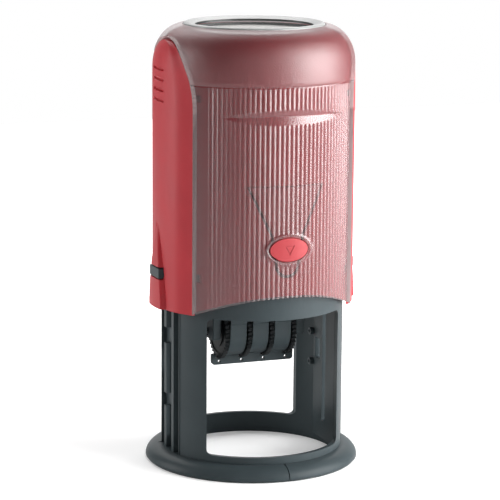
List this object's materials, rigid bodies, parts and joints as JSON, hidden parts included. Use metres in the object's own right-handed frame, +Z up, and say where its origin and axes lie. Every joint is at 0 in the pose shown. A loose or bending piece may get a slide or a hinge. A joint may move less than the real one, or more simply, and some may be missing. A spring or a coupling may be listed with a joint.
{
  "type": "rotary date stamp",
  "caption": "Round self-inking date stamp: domed push-down handle in a ribbed smoke cover, open two-legged frame, flipping die with date bands, lock buttons and an index window.",
  "frame": {"origin": "centre of the base ring on the surface that the stamp stands on", "axes": "+Z up along the handle stroke; the front with the lock button seen in the picture faces -Y; the two legs stand at +X and -X"},
  "size_m": [0.062, 0.062, 0.1274],
  "materials": {
    "frame_plastic": "satin",
    "inner_plastic": "satin",
    "handle_plastic": "satin",
    "button_plastic": "satin",
    "smoke_cover": "gloss",
    "clear_plastic": "gloss",
    "card": "matte",
    "felt": "matte",
    "die_rubber": "matte",
    "band_rubber": "matte",
    "steel": "satin"
  },
  "bodies": {
    "base": {"base_frame": "frame_plastic", "pad_housing": "inner_plastic", "pad_tray": "inner_plastic", "ink_pad": "felt", "return_spring": "steel"},
    "handle": {"handle_body": "handle_plastic", "clear_cover": "smoke_cover", "index_card": "card", "yoke_right": "frame_plastic", "yoke_left": "frame_plastic"},
    "index_cap": {"index_window": "clear_plastic", "top_rim": "clear_plastic"},
    "front_lock": {"front_lock_button": "button_plastic"},
    "rear_lock": {"rear_lock_button": "button_plastic"},
    "rotor": {"side_plate_right": "inner_plastic", "side_plate_left": "inner_plastic", "text_plate": "inner_plastic", "die_rubber": "die_rubber", "anvil": "inner_plastic", "wheel_guard": "frame_plastic", "wheel_shaft": "steel", "day_tens_band": "band_rubber", "day_units_band": "band_rubber", "month_band": "band_rubber", "year_band": "band_rubber"},
    "day_tens_dial": {"day_tens_wheel": "frame_plastic"},
    "day_units_dial": {"day_units_wheel": "frame_plastic"},
    "month_dial": {"month_wheel": "frame_plastic"},
    "year_dial": {"year_wheel": "frame_plastic"}
  },
  "joints": [
    {"name": "handle_press", "type": "slide", "parent": "base", "child": "handle", "axis": [0, 0, -1], "range_m": [0, 0.0425], "stiffness_N_per_m": 400, "springref_m": -0.01, "deforming": ["return_spring"]},
    {"name": "die_flip", "type": "hinge", "parent": "handle", "child": "rotor", "pos_m": [0, 0, 0.0523], "axis": [1, 0, 0], "range_deg": [0, 180]},
    {"name": "front_lock_press", "type": "hinge", "parent": "handle", "child": "front_lock", "pos_m": [0, -0.0272, 0.0843], "axis": [1, 0, 0], "range_deg": [0, 4.5], "stiffness_Nm_per_rad": 0.6, "springref_deg": -1.72},
    {"name": "rear_lock_press", "type": "hinge", "parent": "handle", "child": "rear_lock", "pos_m": [0, 0.0272, 0.0843], "axis": [-1, 0, 0], "range_deg": [0, 4.5], "stiffness_Nm_per_rad": 0.6, "springref_deg": -1.72},
    {"name": "index_window_lift", "type": "slide", "parent": "handle", "child": "index_cap", "axis": [0, 0, 1], "range_m": [0, 0.012]},
    {"name": "day_tens_turn", "type": "hinge", "parent": "rotor", "child": "day_tens_dial", "pos_m": [0, 0, 0.038], "axis": [1, 0, 0], "continuous": true},
    {"name": "day_units_turn", "type": "hinge", "parent": "rotor", "child": "day_units_dial", "pos_m": [0, 0, 0.038], "axis": [1, 0, 0], "continuous": true},
    {"name": "month_turn", "type": "hinge", "parent": "rotor", "child": "month_dial", "pos_m": [0, 0, 0.038], "axis": [1, 0, 0], "continuous": true},
    {"name": "year_turn", "type": "hinge", "parent": "rotor", "child": "year_dial", "pos_m": [0, 0, 0.038], "axis": [1, 0, 0], "continuous": true}
  ],
  "couplings": [
    {"joint": "die_flip", "follows": "handle_press", "rad_per_m": 73.9}
  ]
}
